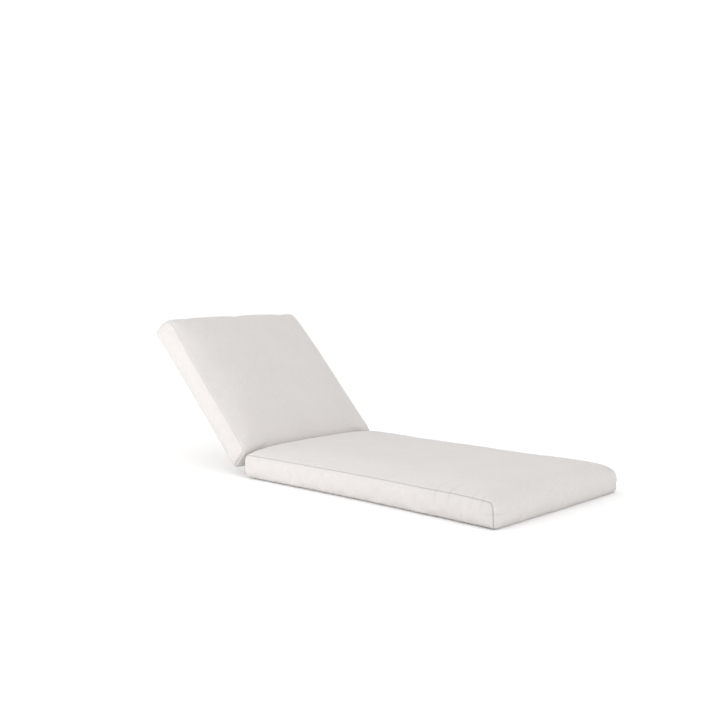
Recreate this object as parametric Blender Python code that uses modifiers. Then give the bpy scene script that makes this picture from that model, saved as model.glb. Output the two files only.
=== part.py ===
"""Sun lounger cushion: a seat pad and a reclined back pad, each with two boxed side panels.

Units are metres and +Z is up. +X runs to the foot end, and the origin is the middle of the
seat pad's flat underside, the face that rests on a lounger's deck.
"""

import math
from dataclasses import dataclass

import bmesh
import bpy

# Driving dimensions
PAD_WIDTH = 0.750
SEAT_LENGTH = 1.222
SEAT_THICKNESS = 0.095
BACK_LENGTH = 0.735
BACK_THICKNESS = 0.107
RECLINE_DEG = 45.2
# The back pad's lower front edge, measured from the seat pad's head end and underside
BACK_EDGE_X = 0.0004
BACK_EDGE_Z = 0.0985

# Cloth and assembly
PANEL_THICKNESS = 0.002
TOUCHING_GAP = 0.0003
SMOOTHING_LEVELS = 2
SEAM_CREASE = 0.6
# How far the lower side seams stand clear of the plane that the base lies on
SEAM_LIFT = 0.005
# How much of a pad's rounded base its weight presses flat
PRESS_DEPTH = 0.001
# How far along a pad its narrowed high corners reach
NARROWING_REACH = 0.22
SHARP_ANGLE_DEG = 40
# Powers that set how late the face's crown and the ends' bulge fall away towards the sides
CROWN_POWER = 6
BULGE_POWER = 4

CLOTH_COLOUR = (0.72, 0.70, 0.67)
CLOTH_ROUGHNESS = 0.92
# The box cage's levels through its thickness, as shares of it
LEVELS = (0.25, 0.5, 0.75)
# A point this near a row or an end, in metres, counts as on it
ON_ROW = 1e-4

# Faces of a cage that a side panel covers carry one of these marks, and the rest carry none
WRAP_MARK = 0
NEAR_MARK = 1
FAR_MARK = 2


@dataclass(frozen=True)
class End:
    """How one end of a pad rolls over, as lengths along the pad and heights through it.

    The tuck is how far the end leans in at its base, and the taper how much its sides narrow.
    The corner is how far the seam's corner at the face is rounded off, and the pull how far
    the face's corners are drawn in towards the middle.
    """

    face_roll: float
    base_roll: float
    face_drop: float
    base_rise: float
    bulge: float
    tuck: float
    taper: float
    crown_reach: float
    corner: float
    pull: float


@dataclass(frozen=True)
class Pad:
    """A filled pad in its own frame: length along X from 0, base at Z = 0, face at the top.

    The high swell is how much thicker the pad is at its high end, as a factor.
    """

    name: str
    length: float
    thickness: float
    high_swell: float
    crown: float
    end_crown: float
    side_bulge: float
    side_draw_in: float
    edge_roll: float
    shoulder: float
    rows: int
    low_end: End
    high_end: End


SEAT = Pad(
    name="seat_pad",
    length=SEAT_LENGTH,
    thickness=SEAT_THICKNESS + PRESS_DEPTH,
    high_swell=1.0,
    crown=0.026,
    end_crown=0.014,
    side_bulge=0.007,
    side_draw_in=0.013,
    edge_roll=0.035,
    shoulder=0.130,
    rows=4,
    low_end=End(
        face_roll=0.034,
        base_roll=0.050,
        face_drop=0.016,
        base_rise=0.016,
        bulge=0.015,
        tuck=0.004,
        taper=0.0,
        crown_reach=0.10,
        corner=0.004,
        pull=0.0,
    ),
    high_end=End(
        face_roll=0.095,
        base_roll=0.016,
        face_drop=0.034,
        base_rise=0.010,
        bulge=0.018,
        tuck=0.010,
        taper=0.0,
        crown_reach=0.10,
        corner=0.005,
        pull=0.0,
    ),
)

BACK = Pad(
    name="back_pad",
    length=BACK_LENGTH,
    thickness=BACK_THICKNESS + PRESS_DEPTH,
    high_swell=1.10,
    crown=0.022,
    end_crown=0.004,
    side_bulge=0.007,
    side_draw_in=0.004,
    edge_roll=0.035,
    shoulder=0.130,
    rows=3,
    low_end=End(
        face_roll=0.060,
        base_roll=0.030,
        face_drop=0.024,
        base_rise=0.024,
        bulge=0.014,
        tuck=0.0,
        taper=0.007,
        crown_reach=0.14,
        corner=0.0,
        pull=0.0,
    ),
    high_end=End(
        face_roll=0.070,
        base_roll=0.034,
        face_drop=0.032,
        base_rise=0.036,
        bulge=0.012,
        tuck=0.0,
        taper=0.0,
        crown_reach=0.16,
        corner=0.008,
        pull=0.020,
    ),
)


def clear_scene():
    """Remove every object that the scene starts with."""
    for obj in list(bpy.data.objects):
        bpy.data.objects.remove(obj, do_unlink=True)


def make_collection(name):
    """Add a collection to the scene and return it."""
    collection = bpy.data.collections.new(name)
    bpy.context.scene.collection.children.link(collection)
    return collection


def make_cloth(name, colour):
    """A matt woven cloth of one plain colour."""
    material = bpy.data.materials.new(name)
    material.use_nodes = True
    shader = material.node_tree.nodes["Principled BSDF"]
    shader.inputs["Base Color"].default_value = (*colour, 1.0)
    shader.inputs["Roughness"].default_value = CLOTH_ROUGHNESS
    shader.inputs["Metallic"].default_value = 0.0
    return material


def blend(start, stop, share):
    """The value a share of the way from start to stop."""
    return start + (stop - start) * share


def cut_rows(bm, axis, stations):
    """Cut the whole cage across one axis at each station."""
    normal = [0.0, 0.0, 0.0]
    normal[axis] = 1.0
    for station in stations:
        point = [0.0, 0.0, 0.0]
        point[axis] = station
        bmesh.ops.bisect_plane(
            bm, geom=bm.verts[:] + bm.edges[:] + bm.faces[:], plane_co=point, plane_no=normal
        )


def length_stations(pad):
    """Where the rows lie along the pad: one at each end's roll and even ones between."""
    first = pad.low_end.face_roll
    last = pad.length - pad.high_end.face_roll
    return [blend(first, last, row / pad.rows) for row in range(pad.rows + 1)]


def width_stations(pad):
    """Where the rows lie across the pad: one beside each seam and one at each shoulder."""
    half = PAD_WIDTH / 2
    offsets = (half - pad.edge_roll, half - pad.shoulder)
    return [side * offset for side in (-1, 1) for offset in offsets]


def box_cage(pad):
    """A box of the pad's size, cut into rows for its rolls, shoulders and seams."""
    bm = bmesh.new()
    bmesh.ops.create_cube(bm, size=1.0)
    bmesh.ops.translate(bm, verts=bm.verts, vec=(0.5, 0.0, 0.5))
    bmesh.ops.scale(bm, verts=bm.verts, vec=(pad.length, PAD_WIDTH, pad.thickness))
    cut_rows(bm, 0, length_stations(pad))
    cut_rows(bm, 1, width_stations(pad))
    cut_rows(bm, 2, [level * pad.thickness for level in LEVELS])
    return bm


def mark_seams(bm):
    """Mark each side's faces for its panel, and crease the seam round them."""
    marks = {-1: NEAR_MARK, 1: FAR_MARK}
    for face in bm.faces:
        face.material_index = marks.get(round(face.normal.y), WRAP_MARK)
    crease = bm.edges.layers.float.new("crease_edge")
    for edge in bm.edges:
        sides = {face.material_index for face in edge.link_faces}
        if len(sides) == 2:
            edge[crease] = SEAM_CREASE


def end_fade(along, reach):
    """0 at an end, rising smoothly to 1 where the end's influence stops."""
    share = min(along / reach, 1.0)
    return math.sin(0.5 * math.pi * share)


def roll_height(level, pad, along):
    """The height of a cage level, 0 to 4, whose rolls change from the low end to the high."""
    share = along / pad.length
    rise = blend(pad.low_end.base_rise, pad.high_end.base_rise, share)
    drop = blend(pad.low_end.face_drop, pad.high_end.face_drop, share)
    bottom, top = rise, pad.thickness - drop
    face = pad.thickness
    if along < ON_ROW:
        face -= pad.low_end.corner
    elif along > pad.length - ON_ROW:
        face -= pad.high_end.corner
    return (0.0, bottom, blend(bottom, top, 0.5), top, face)[level]


def fill_out(bm, pad):
    """Move the cage's points from the box into the filled form."""
    half = PAD_WIDTH / 2
    for vert in bm.verts:
        along, across, height = vert.co
        level = round(4 * height / pad.thickness)
        share = level / 4
        out = across / half
        belly = 1 - (2 * share - 1) ** 2
        crown_across = 1 - out**CROWN_POWER
        bulge_across = belly * (1 - out**BULGE_POWER)
        from_ends = end_fade(along, pad.low_end.crown_reach) * end_fade(
            pad.length - along, pad.high_end.crown_reach
        )
        end_rise = blend(pad.end_crown, pad.crown, from_ends)
        length_share = along / pad.length

        # The end rolls are long at the face and tight at the base.
        if math.isclose(along, pad.low_end.face_roll, abs_tol=ON_ROW):
            along = blend(pad.low_end.base_roll, pad.low_end.face_roll, share)
        elif math.isclose(along, pad.length - pad.high_end.face_roll, abs_tol=ON_ROW):
            along = pad.length - blend(pad.high_end.base_roll, pad.high_end.face_roll, share)
        elif along < ON_ROW:
            along = pad.low_end.tuck * (1 - share) ** 2 - pad.low_end.bulge * bulge_across
        elif along > pad.length - ON_ROW:
            lean = pad.high_end.tuck * (1 - share) ** 2
            along = pad.length - lean + pad.high_end.bulge * bulge_across

        if level == 4 and vert.co.x < ON_ROW:
            along += pad.low_end.corner
        elif level == 4 and vert.co.x > pad.length - ON_ROW:
            along -= pad.high_end.corner

        height = roll_height(level, pad, vert.co.x)
        height *= blend(1.0, pad.high_swell, length_share)
        height += end_rise * crown_across * share**3
        if level == 0 and abs(out) > 0.999:
            height = SEAM_LIFT
        drawn_in = pad.side_draw_in * math.sin(math.pi * length_share)
        drawn_in += blend(pad.low_end.taper, pad.high_end.taper, length_share)
        to_high_end = 1 - min((pad.length - vert.co.x) / NARROWING_REACH, 1.0)
        drawn_in += pad.high_end.pull * share**2 * to_high_end
        swell = pad.side_bulge * belly * abs(out) ** 8
        across *= 1 - (drawn_in - swell) / half
        vert.co = (along, across, height)


def smooth_out(obj):
    """Give the object the mesh that smoothing makes of its cage."""
    smoothing = obj.modifiers.new("filled form", "SUBSURF")
    smoothing.levels = SMOOTHING_LEVELS
    smoothing.render_levels = SMOOTHING_LEVELS
    graph = bpy.context.evaluated_depsgraph_get()
    smooth = bpy.data.meshes.new_from_object(obj.evaluated_get(graph))
    obj.modifiers.remove(smoothing)
    obj.data = smooth


def press_flat(mesh):
    """Flatten the base, as the pad's weight does, and set it back on the plane Z = 0."""
    bm = bmesh.new()
    bm.from_mesh(mesh)
    cut = bmesh.ops.bisect_plane(
        bm,
        geom=bm.verts[:] + bm.edges[:] + bm.faces[:],
        plane_co=(0.0, 0.0, PRESS_DEPTH),
        plane_no=(0.0, 0.0, 1.0),
        clear_inner=True,
    )
    rim = [item for item in cut["geom_cut"] if isinstance(item, bmesh.types.BMEdge)]
    bmesh.ops.contextual_create(bm, geom=rim)
    bmesh.ops.translate(bm, verts=bm.verts, vec=(0.0, 0.0, -PRESS_DEPTH))
    bmesh.ops.recalc_face_normals(bm, faces=bm.faces)
    bm.to_mesh(mesh)
    bm.free()


def make_pad(pad, material, collection):
    """The filled pad: a wrap panel over face, ends and base, its sides ready for panels."""
    bm = box_cage(pad)
    mark_seams(bm)
    fill_out(bm, pad)
    cage = bpy.data.meshes.new(pad.name)
    bm.to_mesh(cage)
    bm.free()
    cage.materials.append(material)
    obj = bpy.data.objects.new(pad.name, cage)
    collection.objects.link(obj)
    smooth_out(obj)
    press_flat(obj.data)
    return obj


def make_side_panel(name, pad_object, mark, material, collection):
    """The boxed side panel: the pad's marked faces, copied just clear of it and thickened."""
    mesh = bpy.data.meshes.new(name)
    bm = bmesh.new()
    bm.from_mesh(pad_object.data)
    others = [face for face in bm.faces if face.material_index != mark]
    bmesh.ops.delete(bm, geom=others, context="FACES")
    for face in bm.faces:
        face.material_index = 0
    bm.normal_update()
    for vert in bm.verts:
        vert.co += vert.normal * TOUCHING_GAP
    bm.to_mesh(mesh)
    bm.free()
    mesh.materials.append(material)
    obj = bpy.data.objects.new(name, mesh)
    collection.objects.link(obj)
    obj.parent = pad_object
    thicken = obj.modifiers.new("cloth thickness", "SOLIDIFY")
    thicken.thickness = PANEL_THICKNESS
    thicken.offset = 1.0
    return obj


def clear_marks(pad_object):
    """Leave the pad with its one material, once its panels have been copied."""
    for face in pad_object.data.polygons:
        face.material_index = 0
    pad_object.data.shade_smooth()
    pad_object.data.set_sharp_from_angle(angle=math.radians(SHARP_ANGLE_DEG))


def place_seat(seat):
    """Lay the seat pad on its underside, with the origin under its middle."""
    seat.location = (-SEAT_LENGTH / 2, 0.0, 0.0)


def place_back(back):
    """Recline the back pad, its lower front edge over the seat pad's head end."""
    recline = math.radians(RECLINE_DEG)
    base_x = BACK_EDGE_X - BACK_THICKNESS * math.sin(recline) - SEAT_LENGTH / 2
    base_z = BACK_EDGE_Z - BACK_THICKNESS * math.cos(recline)
    back.location = (base_x, 0.0, base_z)
    back.rotation_euler = (0.0, -recline, math.pi)


def main():
    """Build both pads with their side panels."""
    clear_scene()
    parts = make_collection("Sun lounger cushion")
    cloth = make_cloth("Cover cloth", CLOTH_COLOUR)
    seat = make_pad(SEAT, cloth, parts)
    back = make_pad(BACK, cloth, parts)
    for pad_object, stem in ((seat, "seat"), (back, "back")):
        # The back pad is turned end for end, so its near side carries the far mark.
        near, far = (NEAR_MARK, FAR_MARK) if pad_object is seat else (FAR_MARK, NEAR_MARK)
        make_side_panel(f"{stem}_side_near", pad_object, near, cloth, parts)
        make_side_panel(f"{stem}_side_far", pad_object, far, cloth, parts)
        clear_marks(pad_object)
    place_seat(seat)
    place_back(back)


main()
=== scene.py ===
"""Sun lounger cushion: two sewn, filled pads of woven outdoor cloth, set on a pale floor.

Units are metres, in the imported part's frame: +X runs to the foot end, -Y is the near side and
+Z is up. Each pad is shaped in its own frame first, with its length along X, its base at Z = 0
and its face on top, and is then laid in its place.
"""

import logging
import math
from dataclasses import dataclass, field
from enum import Enum
from typing import Optional, Union

import bmesh
import bpy
import numpy as np
from mathutils import Matrix, Vector, kdtree, noise


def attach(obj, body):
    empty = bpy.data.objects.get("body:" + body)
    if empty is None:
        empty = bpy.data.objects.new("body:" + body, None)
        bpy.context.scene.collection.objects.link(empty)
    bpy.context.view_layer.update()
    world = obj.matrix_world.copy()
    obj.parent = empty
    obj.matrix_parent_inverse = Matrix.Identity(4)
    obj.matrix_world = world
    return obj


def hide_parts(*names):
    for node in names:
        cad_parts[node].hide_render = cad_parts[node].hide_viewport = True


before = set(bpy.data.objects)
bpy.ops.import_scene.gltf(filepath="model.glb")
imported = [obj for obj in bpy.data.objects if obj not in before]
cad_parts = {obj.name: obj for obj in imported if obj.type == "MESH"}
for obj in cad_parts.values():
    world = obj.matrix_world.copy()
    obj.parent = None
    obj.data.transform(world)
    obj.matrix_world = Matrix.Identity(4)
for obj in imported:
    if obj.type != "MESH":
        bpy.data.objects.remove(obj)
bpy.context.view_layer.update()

log = logging.getLogger("sun_lounger_cushion")

BODY = "root"
CLOTH_MAP = "cloth"
# Mesh attribute that holds the painted shade: dark seam grooves and the pucker valleys beside the
# seams
PAINTED_SHADE_ATTRIBUTE = "painted_seam_shade"
# A point this near a row or an end, in metres, counts as on it
ON_ROW = 1e-4
# A point past this share of the half width is on a pad's side
ON_SIDE = 0.999
# A face whose normal has more than this along an axis looks along that axis
FACES_AXIS = 0.5
# The cage's base, three levels and face are four steps apart
TOP_LEVEL = 4
# Places of the colours in a Mix node's sockets
MIX_FIRST, MIX_SECOND, MIX_RESULT = 6, 7, 2
# Where in the noise each seam's puckers, their strength and each direction's waves are read
PUCKER_STEP = 7.0
PATCH_ROW, PATCH_STEP = 31.0, 9.0
WAVE_STARTS = (Vector((3.0, 5.0, 11.0)), Vector((47.0, 5.0, 29.0)), Vector((7.0, 61.0, 83.0)))

Number = Union["Shade", float]
Colour = tuple[float, float, float]
Spot = tuple[float, float, float]


class Panel(Enum):
    """The cloth panel that a face of a pad belongs to."""

    WRAP = 0
    NEAR = 1
    FAR = 2


class Shade:
    """A shader socket that carries a number, with arithmetic that adds Math nodes."""

    def __init__(self, tree: "ShaderTree", socket: bpy.types.NodeSocket) -> None:
        """Wrap a socket of a tree.

        Args:
            tree: the tree that new Math nodes go into.
            socket: the output socket that holds the number.
        """
        self.tree = tree
        self.socket = socket

    def _math(self, operation: str, first: Number, second: Number = 0.0) -> "Shade":
        """Add one Math node.

        Args:
            operation: the Math node's operation.
            first: its first value.
            second: its second value, where the operation has one.

        Returns:
            The node's result.
        """
        return self.tree.add("Math", {"operation": operation}, {0: first, 1: second})

    def __add__(self, other: Number) -> "Shade":
        """The sum."""
        return self._math("ADD", self, other)

    __radd__ = __add__

    def __sub__(self, other: Number) -> "Shade":
        """This number less the other."""
        return self._math("SUBTRACT", self, other)

    def __rsub__(self, other: Number) -> "Shade":
        """The other number less this one."""
        return self._math("SUBTRACT", other, self)

    def __mul__(self, other: Number) -> "Shade":
        """The product."""
        return self._math("MULTIPLY", self, other)

    __rmul__ = __mul__

    def __truediv__(self, other: Number) -> "Shade":
        """This number over the other."""
        return self._math("DIVIDE", self, other)

    def sine(self) -> "Shade":
        """The sine of an angle in radians."""
        return self._math("SINE", self)

    def clamped(self) -> "Shade":
        """Hold this number between 0 and 1.

        Returns:
            The held number.
        """
        held = self._math("ADD", self, 0.0)
        held.socket.node.use_clamp = True
        return held


class ShaderTree:
    """Builds the nodes of one material or world."""

    def __init__(self, owner: Union[bpy.types.Material, bpy.types.World]) -> None:
        """Start an empty tree.

        Args:
            owner: the material or world that the nodes belong to.
        """
        owner.use_nodes = True
        self.tree = owner.node_tree
        self.tree.nodes.clear()

    def add(
        self,
        kind: str,
        settings: Optional[dict[str, object]] = None,
        inputs: Optional[dict[Union[str, int], object]] = None,
        output: Union[str, int] = 0,
    ) -> Shade:
        """Add a node, set it up and feed it.

        Args:
            kind: the node's type, without its ShaderNode prefix.
            settings: the node's own properties.
            inputs: values or links of its sockets, by name or place.
            output: the output to return, by name or place.

        Returns:
            The chosen output, or the bare node's wrapper where it has none.
        """
        node = self.tree.nodes.new("ShaderNode" + kind)
        for key, value in (settings or {}).items():
            setattr(node, key, value)
        for key, value in (inputs or {}).items():
            if isinstance(value, Shade):
                self.tree.links.new(value.socket, node.inputs[key])
            else:
                node.inputs[key].default_value = value
        return Shade(self, node.outputs[output]) if len(node.outputs) else Shade(self, None)

    def mix(self, share: Shade, first: object, second: object) -> Shade:
        """Blend two colours.

        Args:
            share: how much of the second colour shows, from 0 to 1.
            first: the first colour, as a socket or four numbers.
            second: the second colour, as a socket or four numbers.

        Returns:
            The blended colour.
        """
        inputs = {0: share, MIX_FIRST: first, MIX_SECOND: second}
        return self.add("Mix", {"data_type": "RGBA"}, inputs, output=MIX_RESULT)


@dataclass(frozen=True)
class WovenCloth:
    """Matt outdoor cloth in plain weave, with slubs in its threads. Lengths are in metres."""

    name: str = "Cover cloth"
    light_thread: Colour = (0.684, 0.653, 0.634)
    dark_thread: Colour = (0.551, 0.524, 0.507)
    # Colour of the painted shade in the seam grooves and pucker valleys
    painted_shade_colour: Colour = (0.300, 0.280, 0.260)
    thread_pitch: float = 0.0016
    slub_length: float = 0.030
    slub_width: float = 0.0014
    cloud_size: float = 0.16
    weave_depth: float = 0.0006
    roughness: float = 0.93
    slub_contrast: float = 1.5
    cloud_contrast: float = 0.35
    weave_contrast: float = 0.06
    darkening: float = 0.30
    weave_height: float = 0.5
    slub_height: float = 1.2
    bump_strength: float = 0.6
    specular: float = 0.25
    sheen: float = 0.10
    sheen_roughness: float = 0.5

    def _streaks(self, tree: ShaderTree, run: Shade, cross: Shade) -> Shade:
        """Slubs: noise drawn out along one set of threads.

        Args:
            tree: the material's tree.
            run: the distance along the threads.
            cross: the distance across them.

        Returns:
            A number between 0 and 1.
        """
        place = tree.add(
            "CombineXYZ", None, {0: run / self.slub_length, 1: cross / self.slub_width}
        )
        return tree.add("TexNoise", None, {"Vector": place, "Scale": 1.0, "Detail": 1.0})

    def material(self) -> bpy.types.Material:
        """Make the material.

        Returns:
            The cloth, read from a piece's own map of the flat panels.
        """
        cloth = bpy.data.materials.new(self.name)
        tree = ShaderTree(cloth)
        flat = tree.add("UVMap", {"uv_map": CLOTH_MAP})
        along = tree.add("SeparateXYZ", None, {0: flat})
        across = Shade(tree, along.socket.node.outputs[1])
        turn = math.pi / self.thread_pitch
        weave = (along * turn).sine() * (across * turn).sine()
        slubs = (self._streaks(tree, along, across) + self._streaks(tree, across, along)) * 0.5
        cloud = tree.add(
            "TexNoise",
            None,
            {"Vector": flat, "Scale": 1.0 / self.cloud_size, "Detail": 2.0},
        )
        lightness = slubs * self.slub_contrast + cloud * self.cloud_contrast
        lightness = (lightness + weave * self.weave_contrast - self.darkening).clamped()
        threads = tree.mix(lightness, (*self.dark_thread, 1.0), (*self.light_thread, 1.0))
        # Painted shade: where the attribute says so, the thread colour is blended towards the
        # painted shade colour, darkening seam grooves and pucker valleys
        seam = tree.add("Attribute", {"attribute_name": PAINTED_SHADE_ATTRIBUTE}, output="Fac")
        colour_with_painted_shade = tree.mix(seam.clamped(), threads, (*self.painted_shade_colour, 1.0))
        height = weave * self.weave_height + slubs * self.slub_height
        bump = tree.add(
            "Bump",
            None,
            {"Strength": self.bump_strength, "Distance": self.weave_depth, "Height": height},
        )
        shader = tree.add(
            "BsdfPrincipled",
            None,
            {
                "Base Color": colour_with_painted_shade,
                "Roughness": self.roughness,
                "Specular IOR Level": self.specular,
                "Sheen Weight": self.sheen,
                "Sheen Roughness": self.sheen_roughness,
                "Normal": bump,
            },
        )
        tree.add("OutputMaterial", None, {"Surface": shader})
        return cloth


@dataclass(frozen=True)
class FloorFinish:
    """Plain pale floor."""

    name: str = "Pale floor"
    colour: Colour = (0.97, 0.97, 0.97)
    roughness: float = 0.9
    specular: float = 0.1

    def material(self) -> bpy.types.Material:
        """Make the material.

        Returns:
            The plain floor material.
        """
        floor = bpy.data.materials.new(self.name)
        tree = ShaderTree(floor)
        shader = tree.add(
            "BsdfPrincipled",
            None,
            {
                "Base Color": (*self.colour, 1.0),
                "Roughness": self.roughness,
                "Specular IOR Level": self.specular,
            },
        )
        tree.add("OutputMaterial", None, {"Surface": shader})
        return floor


@dataclass(frozen=True)
class PadEnd:
    """How one end of a pad rolls over, as lengths along the pad and heights through it."""

    face_roll: float
    base_roll: float
    face_drop: float
    base_rise: float
    bulge: float
    tuck: float
    taper: float
    crown_reach: float
    corner: float = 0.0
    pull: float = 0.0


@dataclass(frozen=True)
class PadForm:
    """The filled form of a pad, with the same sizes as its solid."""

    length: float
    thickness: float
    high_swell: float
    crown: float
    end_crown: float
    side_bulge: float
    side_draw_in: float
    rows: int
    low_end: PadEnd
    high_end: PadEnd
    width: float = 0.750
    edge_roll: float = 0.035
    shoulder: float = 0.130
    face_rows: tuple[float, ...] = (0.0, 0.125)
    levels: tuple[float, ...] = (0.25, 0.5, 0.75)
    seam_lift: float = 0.005
    press_depth: float = 0.001
    narrowing_reach: float = 0.22
    crown_power: float = 4.5
    bulge_power: int = 4
    swell_power: int = 8

    @property
    def half(self) -> float:
        """Half the width."""
        return self.width / 2

    def length_rows(self) -> list[float]:
        """Place the rows along the pad: one at each end's roll and even ones between.

        Returns:
            Their distances from the low end.
        """
        first = self.low_end.face_roll
        last = self.length - self.high_end.face_roll
        return [float(row) for row in np.linspace(first, last, self.rows + 1)]

    def width_rows(self) -> list[float]:
        """Where the rows lie across the pad: beside each seam, at each shoulder and between."""
        offsets = (self.half - self.edge_roll, self.half - self.shoulder, *self.face_rows)
        return sorted({side * offset for side in (-1, 1) for offset in offsets})

    def level_heights(self, along: float) -> tuple[float, ...]:
        """The cage's five heights at a place along the pad.

        Args:
            along: the distance from the low end.

        Returns:
            The heights from the base to the face.
        """
        share = along / self.length
        rise = np.interp(share, (0, 1), (self.low_end.base_rise, self.high_end.base_rise))
        drop = np.interp(share, (0, 1), (self.low_end.face_drop, self.high_end.face_drop))
        top = self.thickness - drop
        face = self.thickness
        if along < ON_ROW:
            face -= self.low_end.corner
        elif along > self.length - ON_ROW:
            face -= self.high_end.corner
        return (0.0, float(rise), float(rise + top) / 2, float(top), face)

    def end_fade(self, along: float, reach: float) -> float:
        """0 at an end, rising smoothly to 1 where the end's influence stops."""
        return math.sin(0.5 * math.pi * min(max(along, 0.0) / reach, 1.0))

    def filled(self, point: Vector) -> Vector:
        """Where a point of the box cage goes in the filled form.

        Args:
            point: a point of the box, in the pad's frame.

        Returns:
            The same point of the filled form.
        """
        along, across, height = point
        level = round(TOP_LEVEL * height / self.thickness)
        share = level / TOP_LEVEL
        out = across / self.half
        length_share = along / self.length
        belly = 1 - (2 * share - 1) ** 2
        bulge_across = belly * (1 - out**self.bulge_power)
        from_ends = self.end_fade(along, self.low_end.crown_reach)
        from_ends *= self.end_fade(self.length - along, self.high_end.crown_reach)
        end_rise = self.end_crown + (self.crown - self.end_crown) * from_ends
        low, high = self.low_end, self.high_end
        new_along = along
        if abs(along - low.face_roll) < ON_ROW:
            new_along = low.base_roll + (low.face_roll - low.base_roll) * share
        elif abs(along - self.length + high.face_roll) < ON_ROW:
            new_along = self.length - high.base_roll - (high.face_roll - high.base_roll) * share
        elif along < ON_ROW:
            new_along = low.tuck * (1 - share) ** 2 - low.bulge * bulge_across
        elif along > self.length - ON_ROW:
            new_along = self.length - high.tuck * (1 - share) ** 2 + high.bulge * bulge_across
        if level == TOP_LEVEL and along < ON_ROW:
            new_along += low.corner
        elif level == TOP_LEVEL and along > self.length - ON_ROW:
            new_along -= high.corner
        new_height = self.level_heights(along)[level]
        new_height *= 1 + (self.high_swell - 1) * length_share
        new_height += end_rise * (1 - abs(out) ** self.crown_power) * share**3
        if level == 0 and abs(out) > ON_SIDE:
            new_height = self.seam_lift
        drawn_in = self.side_draw_in * math.sin(math.pi * length_share)
        drawn_in += low.taper + (high.taper - low.taper) * length_share
        to_high_end = 1 - min((self.length - along) / self.narrowing_reach, 1.0)
        drawn_in += high.pull * share**2 * to_high_end
        swell = self.side_bulge * belly * abs(out) ** self.swell_power
        return Vector((new_along, across * (1 - (drawn_in - swell) / self.half), new_height))


@dataclass(frozen=True)
class SewingDetail:
    """How the cover is sewn and how loosely it lies. Lengths are in metres."""

    seam_width: float = 0.0024
    seam_depth: float = 0.0036
    # How dark the painted shade in each seam's groove is
    painted_seam_shade: float = 0.75
    groove_share: float = 0.6
    row_spacing: float = 0.012
    row_margin: float = 0.6
    pressure: float = 4.0
    ease: float = 0.012
    frames: int = 20
    quality: int = 5
    held_below: float = 0.0015
    most_swell: float = 0.007
    pucker_reach: float = 0.014
    pucker_pitch: float = 0.019
    pucker_height: float = 0.0013
    least_pucker: float = 0.35
    patch_length: float = 0.21
    gathered_height: float = 0.0016
    gathered_reach: float = 0.34
    # Painted shade in the pucker valleys near the foot end: its strength, and the pleat depth
    # where it starts
    painted_fold_shade: float = 1.1
    shaded_from: float = 0.12
    waviness: float = 0.0012
    wave_size: float = 0.16
    base_fade: float = 0.02


def read_points(mesh: bpy.types.Mesh) -> np.ndarray:
    """Read a mesh's points.

    Args:
        mesh: the mesh.

    Returns:
        An array with one row for each point.
    """
    points = np.empty(len(mesh.vertices) * 3)
    mesh.vertices.foreach_get("co", points)
    return points.reshape(-1, 3)


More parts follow.
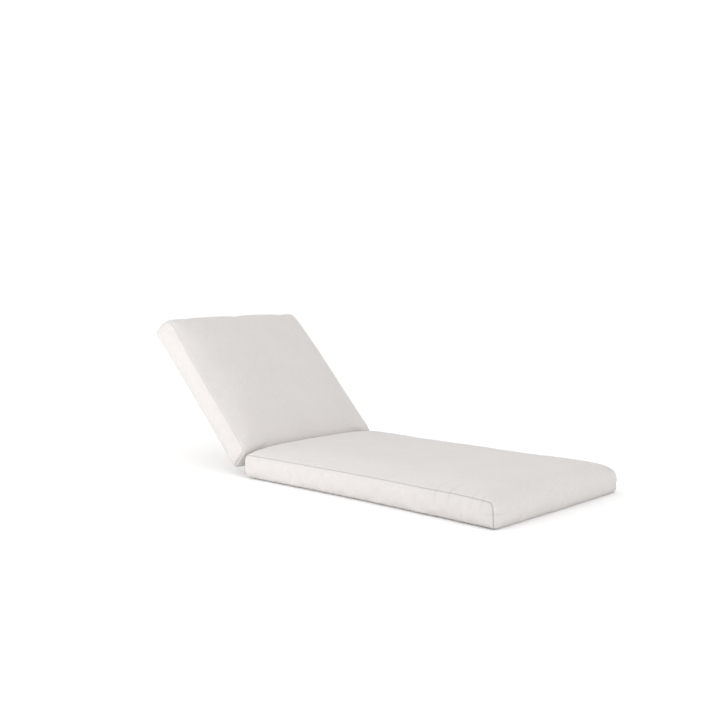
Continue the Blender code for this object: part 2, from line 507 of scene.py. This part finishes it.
@dataclass
class FilledPad:
    """One filled pad of the cushion, sewn from a wrap panel and two boxed side panels."""

    name: str
    nodes: tuple[str, ...]
    form: PadForm
    place: Matrix
    sewing: SewingDetail = field(default_factory=SewingDetail)
    fill: float = 0.85

    def box_cage(self) -> bmesh.types.BMesh:
        """A box of the pad's size, cut into the rows that shape it.

        Returns:
            The box, in the pad's frame.
        """
        form = self.form
        bm = bmesh.new()
        bmesh.ops.create_cube(bm, size=1.0)
        bmesh.ops.translate(bm, verts=bm.verts, vec=(0.5, 0.0, 0.5))
        bmesh.ops.scale(bm, verts=bm.verts, vec=(form.length, form.width, form.thickness))
        rows = (
            form.length_rows(),
            form.width_rows(),
            [level * form.thickness for level in form.levels],
        )
        for axis, stations in enumerate(rows):
            normal = Vector((0.0, 0.0, 0.0))
            normal[axis] = 1.0
            for station in stations:
                everything = bm.verts[:] + bm.edges[:] + bm.faces[:]
                bmesh.ops.bisect_plane(
                    bm, geom=everything, plane_co=normal * station, plane_no=normal
                )
        return bm

    def lay_out_cloth(self, bm: bmesh.types.BMesh) -> None:
        """Mark each face's panel and map it to its flat cloth, while the cage is still a box.

        Args:
            bm: the box cage.
        """
        form = self.form
        flat = bm.loops.layers.uv.new(CLOTH_MAP)
        for face in bm.faces:
            normal = face.normal
            panel = Panel.WRAP
            if abs(normal.y) > FACES_AXIS:
                panel = Panel.NEAR if normal.y < 0 else Panel.FAR
            face.material_index = panel.value
            for loop in face.loops:
                x, y, z = loop.vert.co
                if panel is not Panel.WRAP:
                    spot = (x, z)
                elif normal.z > FACES_AXIS:
                    spot = (x, y)
                elif normal.x > FACES_AXIS:
                    spot = (form.length + form.thickness - z, y)
                elif normal.z < -FACES_AXIS:
                    spot = (2 * form.length + form.thickness - x, y)
                else:
                    spot = (z - form.thickness, y)
                loop[flat].uv = spot

    def smoothed(self, mesh: bpy.types.Mesh, levels: int) -> bpy.types.Mesh:
        """The mesh with subdivision applied.

        Args:
            mesh: the mesh to smooth, which is used up.
            levels: how many levels of subdivision.

        Returns:
            A new mesh.
        """
        obj = bpy.data.objects.new("smoothing", mesh)
        bpy.context.scene.collection.objects.link(obj)
        subdivision = obj.modifiers.new("filled form", "SUBSURF")
        subdivision.levels = levels
        subdivision.render_levels = levels
        graph = bpy.context.evaluated_depsgraph_get()
        smooth = bpy.data.meshes.new_from_object(obj.evaluated_get(graph))
        bpy.data.objects.remove(obj, do_unlink=True)
        bpy.data.meshes.remove(mesh)
        return smooth

    def even_rows(self, bm: bmesh.types.BMesh) -> None:
        """Cut long edges until no row is much wider than the row spacing.

        Args:
            bm: the smoothed form.
        """
        sewing = self.sewing
        for cuts in (2, 1):
            longest = sewing.row_spacing * (cuts + sewing.row_margin)
            long_edges = [edge for edge in bm.edges if edge.calc_length() > longest]
            bmesh.ops.subdivide_edges(bm, edges=long_edges, cuts=cuts, use_grid_fill=True)

    def seam_edges(self, bm: bmesh.types.BMesh) -> list[bmesh.types.BMEdge]:
        """The edges where two cloth panels meet."""
        return [
            edge
            for edge in bm.edges
            if len({face.material_index for face in edge.link_faces}) == 2
        ]

    def inflate(self, mesh: bpy.types.Mesh) -> None:
        """Blow the cover up against its seams with cloth simulation, and keep a capped share.

        Args:
            mesh: the evenly divided form, which is changed in place.
        """
        sewing = self.sewing
        bm = bmesh.new()
        bm.from_mesh(mesh)
        held = {vert.index for edge in self.seam_edges(bm) for vert in edge.verts}
        held |= {vert.index for vert in bm.verts if vert.co.z < sewing.held_below}
        bm.free()
        obj = bpy.data.objects.new("cover", mesh)
        bpy.context.scene.collection.objects.link(obj)
        group = obj.vertex_groups.new(name="held")
        group.add(sorted(held), 1.0, "REPLACE")
        cloth = obj.modifiers.new("filling", "CLOTH")
        settings = cloth.settings
        settings.quality = sewing.quality
        settings.use_pressure = True
        settings.uniform_pressure_force = sewing.pressure
        settings.shrink_min = -sewing.ease
        settings.effector_weights.gravity = 0.0
        settings.vertex_group_mass = group.name
        cloth.collision_settings.use_collision = False
        cloth.point_cache.frame_start = 1
        cloth.point_cache.frame_end = sewing.frames
        scene = bpy.context.scene
        for step in range(1, sewing.frames + 1):
            scene.frame_set(step)
        graph = bpy.context.evaluated_depsgraph_get()
        blown = obj.evaluated_get(graph).to_mesh()
        start = read_points(mesh)
        move = read_points(blown) - start
        length = np.linalg.norm(move, axis=1, keepdims=True)
        log.info("%s: cloth moved up to %.1f mm", self.name, 1000 * float(length.max()))
        capped = sewing.most_swell * np.tanh(length / sewing.most_swell)
        move *= capped / np.maximum(length, 1e-9)
        mesh.vertices.foreach_set("co", (start + move).ravel())
        mesh.update()
        obj.evaluated_get(graph).to_mesh_clear()
        scene.frame_set(1)
        bpy.data.objects.remove(obj, do_unlink=True)

    def seam_line(self, bm: bmesh.types.BMesh) -> list[tuple[Vector, float, int]]:
        """Walk each seam and list points along it.

        Args:
            bm: the form before its seams are sewn.

        Returns:
            Points with their distance along their seam and the seam's number.
        """
        edges = set(self.seam_edges(bm))
        line: list[tuple[Vector, float, int]] = []
        seam = 0
        while edges:
            edge = min(edges, key=lambda item: item.index)
            vert = edge.verts[0]
            run = 0.0
            while edge is not None:
                edges.discard(edge)
                other = edge.other_vert(vert)
                for share in (0.0, 0.25, 0.5, 0.75):
                    spot = vert.co.lerp(other.co, share)
                    line.append((spot, run + share * edge.calc_length(), seam))
                run += edge.calc_length()
                vert = other
                edge = next((item for item in vert.link_edges if item in edges), None)
            seam += 1
        return line

    def sew_seams(self, bm: bmesh.types.BMesh) -> None:
        """Open each seam into a narrow groove and paint shade into its middle.

        Args:
            bm: the blown-up form.
        """
        sewing = self.sewing
        seams = self.seam_edges(bm)
        middle = {vert.co.copy().freeze() for edge in seams for vert in edge.verts}
        bmesh.ops.bevel(
            bm,
            geom=seams,
            offset=sewing.seam_width,
            segments=2,
            affect="EDGES",
            profile=0.5,
            material=-1,
        )
        bm.normal_update()
        tree = kdtree.KDTree(len(middle))
        for index, spot in enumerate(middle):
            tree.insert(spot, index)
        tree.balance()
        shade = bm.verts.layers.float.new(PAINTED_SHADE_ATTRIBUTE)
        near_middle = sewing.groove_share * sewing.seam_width
        for vert in bm.verts:
            distance = tree.find(vert.co)[2]
            # The groove's middle sinks and is given painted shade
            if distance < near_middle:
                vert.co -= vert.normal * sewing.seam_depth
                vert[shade] = sewing.painted_seam_shade

    def pucker(self, point: Vector, distance: float, run: float, seam: int) -> tuple[float, float]:
        """Work out the pucker beside a seam at one point.

        Args:
            point: the point, in the pad's frame.
            distance: how far it is from its seam.
            run: how far along the seam it lies.
            seam: the seam's number.

        Returns:
            How far the point lifts, and how much painted shade its fold gets, from 0 to 1.
        """
        sewing = self.sewing
        reach = distance / sewing.pucker_reach
        fade = reach * math.exp(1 - reach)
        patch = noise.noise(Vector((run / sewing.patch_length, PATCH_ROW, PATCH_STEP * seam)))
        strength = sewing.least_pucker + max(patch, 0.0) * 2
        gather = max(1 - (self.form.length - point.x) / sewing.gathered_reach, 0.0)
        height = sewing.pucker_height * strength + sewing.gathered_height * gather
        pleat = noise.noise(Vector((run / sewing.pucker_pitch, PUCKER_STEP * seam, 0.0)))
        # Painted shade in the pleat's valley, strongest towards the foot end
        sunk = max(-pleat - sewing.shaded_from, 0.0)
        return 2 * height * fade * pleat, sewing.painted_fold_shade * gather * fade * sunk

    def crease_cloth(self, mesh: bpy.types.Mesh, line: list[tuple[Vector, float, int]]) -> None:
        """Add the puckers that run off the seams, painted shade in their valleys, and the slight
        waviness of a soft filling.

        Args:
            mesh: the finely divided pad, which is changed in place.
            line: points along the seams.
        """
        sewing = self.sewing
        tree = kdtree.KDTree(len(line))
        for index, (spot, _, _) in enumerate(line):
            tree.insert(spot, index)
        tree.balance()
        points = read_points(mesh)
        normals = np.empty(len(mesh.vertices) * 3)
        mesh.vertex_normals.foreach_get("vector", normals)
        normals = normals.reshape(-1, 3)
        shades = np.empty(len(mesh.vertices))
        mesh.attributes[PAINTED_SHADE_ATTRIBUTE].data.foreach_get("value", shades)
        for index, (spot, normal) in enumerate(zip(points, normals)):
            point = Vector(spot)
            _, nearest, distance = tree.find(point)
            _, run, seam = line[nearest]
            lift, shade = self.pucker(point, distance, run, seam)
            # Painted shade in the pucker's valley, added to the seam's painted shade
            shades[index] += shade
            wave = [noise.noise(point / sewing.wave_size + start) for start in WAVE_STARTS]
            off_base = min(max(point.z, 0.0) / sewing.base_fade, 1.0)
            points[index] += (normal * lift + np.array(wave) * sewing.waviness) * off_base
        mesh.vertices.foreach_set("co", points.ravel())
        mesh.attributes[PAINTED_SHADE_ATTRIBUTE].data.foreach_set("value", np.minimum(shades, 1.0))
        mesh.update()

    def press_flat(self, mesh: bpy.types.Mesh) -> None:
        """Flatten the base, as the pad's weight does, and set it on the plane Z = 0.

        Args:
            mesh: the creased pad, which is changed in place.
        """
        points = read_points(mesh)
        points[:, 2] = np.maximum(points[:, 2] - self.form.press_depth, 0.0)
        mesh.vertices.foreach_set("co", points.ravel())
        mesh.update()

    def build(self, cloth: bpy.types.Material) -> bpy.types.Object:
        """Build the pad and dress it.

        Args:
            cloth: the cover's material.

        Returns:
            The finished piece, riding on the part.
        """
        bm = self.box_cage()
        self.lay_out_cloth(bm)
        for vert in bm.verts:
            vert.co = self.form.filled(vert.co)
        mesh = bpy.data.meshes.new(self.name)
        bm.to_mesh(mesh)
        bm.free()
        mesh = self.smoothed(mesh, 2)
        bm = bmesh.new()
        bm.from_mesh(mesh)
        self.even_rows(bm)
        bm.to_mesh(mesh)
        bm.free()
        self.inflate(mesh)
        bm = bmesh.new()
        bm.from_mesh(mesh)
        bm.edges.index_update()
        line = self.seam_line(bm)
        self.sew_seams(bm)
        bm.to_mesh(mesh)
        bm.free()
        mesh = self.smoothed(mesh, 1)
        self.crease_cloth(mesh, line)
        self.press_flat(mesh)
        mesh.name = self.name
        mesh.transform(self.place)
        mesh.materials.clear()
        mesh.materials.append(cloth)
        for face in mesh.polygons:
            face.material_index = 0
        mesh.shade_smooth()
        piece = bpy.data.objects.new(self.name, mesh)
        bpy.context.scene.collection.objects.link(piece)
        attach(piece, BODY)
        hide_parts(*self.nodes)
        log.info("%s: %d faces", self.name, len(mesh.polygons))
        return piece


@dataclass(frozen=True)
class SunLoungerCushion:
    """The whole cushion: a seat pad on the ground and a back pad that leans from its head end."""

    seat_form: PadForm = PadForm(
        length=1.222,
        thickness=0.096,
        high_swell=1.0,
        crown=0.030,
        end_crown=0.014,
        side_bulge=0.007,
        side_draw_in=0.013,
        rows=8,
        low_end=PadEnd(
            face_roll=0.034,
            base_roll=0.050,
            face_drop=0.016,
            base_rise=0.016,
            bulge=0.015,
            tuck=0.004,
            taper=0.0,
            crown_reach=0.10,
            corner=0.004,
        ),
        high_end=PadEnd(
            face_roll=0.095,
            base_roll=0.016,
            face_drop=0.034,
            base_rise=0.010,
            bulge=0.018,
            tuck=0.010,
            taper=0.0,
            crown_reach=0.10,
            corner=0.005,
        ),
    )
    back_form: PadForm = PadForm(
        length=0.735,
        thickness=0.108,
        high_swell=1.10,
        crown=0.027,
        end_crown=0.004,
        side_bulge=0.007,
        side_draw_in=0.004,
        rows=6,
        low_end=PadEnd(
            face_roll=0.060,
            base_roll=0.030,
            face_drop=0.024,
            base_rise=0.024,
            bulge=0.014,
            tuck=0.0,
            taper=0.007,
            crown_reach=0.14,
        ),
        high_end=PadEnd(
            face_roll=0.070,
            base_roll=0.034,
            face_drop=0.032,
            base_rise=0.036,
            bulge=0.012,
            tuck=0.0,
            taper=0.0,
            crown_reach=0.16,
            corner=0.008,
            pull=0.020,
        ),
    )
    recline: float = math.radians(45.2)
    back_edge: tuple[float, float] = (0.0004, 0.0985)

    def seat_place(self) -> Matrix:
        """Where the seat pad's own frame lies."""
        return Matrix.Translation((-self.seat_form.length / 2, 0.0, 0.0))

    def back_place(self) -> Matrix:
        """Work out where the back pad's own frame lies: turned end for end and reclined.

        Returns:
            The place of that frame in the part's.
        """
        thickness = self.back_form.thickness - self.back_form.press_depth
        x = self.back_edge[0] - thickness * math.sin(self.recline) - self.seat_form.length / 2
        z = self.back_edge[1] - thickness * math.cos(self.recline)
        turn = Matrix.Rotation(math.pi, 4, "Z") @ Matrix.Rotation(-self.recline, 4, "Y")
        return Matrix.Translation((x, 0.0, z)) @ turn

    def build(self) -> None:
        """Build both pads in one cloth."""
        cloth = WovenCloth().material()
        seat_nodes = ("seat_pad", "seat_side_near", "seat_side_far")
        back_nodes = ("back_pad", "back_side_near", "back_side_far")
        seat_sewing = SewingDetail()
        back_sewing = SewingDetail(
            seam_depth=0.0022,
            painted_seam_shade=0.30,
            gathered_height=0.0,
            painted_fold_shade=0.0,
            waviness=0.0005,
        )
        seat_place, back_place = self.seat_place(), self.back_place()
        FilledPad("seat_cushion", seat_nodes, self.seat_form, seat_place, seat_sewing).build(cloth)
        FilledPad("back_cushion", back_nodes, self.back_form, back_place, back_sewing).build(cloth)


@dataclass(frozen=True)
class SoftBox:
    """A large soft studio light."""

    name: str
    place: Spot
    target: Spot
    size: float
    power: float
    colour: Colour = (1.0, 1.0, 1.0)

    def build(self) -> None:
        """Add the light to the scene."""
        light = bpy.data.lights.new(self.name, "AREA")
        light.shape = "SQUARE"
        light.size = self.size
        light.energy = self.power
        light.color = self.colour
        lamp = bpy.data.objects.new(self.name, light)
        direction = Vector(self.target) - Vector(self.place)
        lamp.rotation_euler = direction.to_track_quat("-Z", "Y").to_euler()
        lamp.location = self.place
        bpy.context.scene.collection.objects.link(lamp)


@dataclass(frozen=True)
class Studio:
    """Floor, light and camera."""

    floor_size: float = 60.0
    sky: float = 1.05
    lights: tuple[SoftBox, ...] = (
        SoftBox("Key light", (-0.95, -2.3, 0.8), (-0.75, 0.0, 0.2), 1.5, 18.5),
        SoftBox("Foot light", (2.8, -0.9, 0.9), (0.5, 0.0, 0.05), 1.2, 9.5),
    )
    eye: Spot = (2.4383, -2.883, 0.8087)
    yaw: float = math.radians(43.855)
    down: float = math.radians(5.017)
    roll: float = math.radians(-0.348)
    lens: float = 50.3
    sensor: float = 36.0
    far_clip: float = 200.0

    def add_floor(self) -> None:
        """Lay the floor at the height that the cushion rests on."""
        bm = bmesh.new()
        bmesh.ops.create_grid(bm, x_segments=1, y_segments=1, size=self.floor_size / 2)
        mesh = bpy.data.meshes.new("floor")
        bm.to_mesh(mesh)
        bm.free()
        mesh.materials.append(FloorFinish().material())
        floor = bpy.data.objects.new("floor", mesh)
        bpy.context.scene.collection.objects.link(floor)

    def add_world(self) -> None:
        """Surround the scene with even white light."""
        world = bpy.data.worlds.new("Studio surround")
        bpy.context.scene.world = world
        tree = ShaderTree(world)
        sky = tree.add(
            "Background", None, {"Color": (1.0, 1.0, 1.0, 1.0), "Strength": self.sky}
        )
        tree.add("OutputWorld", None, {"Surface": sky})

    def add_camera(self) -> None:
        """Set the camera at the photograph's viewpoint."""
        camera = bpy.data.cameras.new("Camera")
        camera.lens = self.lens
        camera.sensor_width = self.sensor
        camera.clip_end = self.far_clip
        eye = bpy.data.objects.new("Camera", camera)
        turn = Matrix.Rotation(self.yaw, 4, "Z")
        turn @= Matrix.Rotation(math.radians(90) - self.down, 4, "X")
        turn @= Matrix.Rotation(self.roll, 4, "Z")
        eye.matrix_world = Matrix.Translation(self.eye) @ turn
        bpy.context.scene.collection.objects.link(eye)
        bpy.context.scene.camera = eye

    def build(self) -> None:
        """Set the studio up."""
        bpy.context.scene.view_settings.view_transform = "Standard"
        self.add_floor()
        self.add_world()
        for light in self.lights:
            light.build()
        self.add_camera()


def main() -> None:
    """Build the studio and the cushion."""
    logging.basicConfig(level=logging.INFO, format="%(message)s")
    Studio().build()
    SunLoungerCushion().build()


if __name__ == "__main__":
    main()
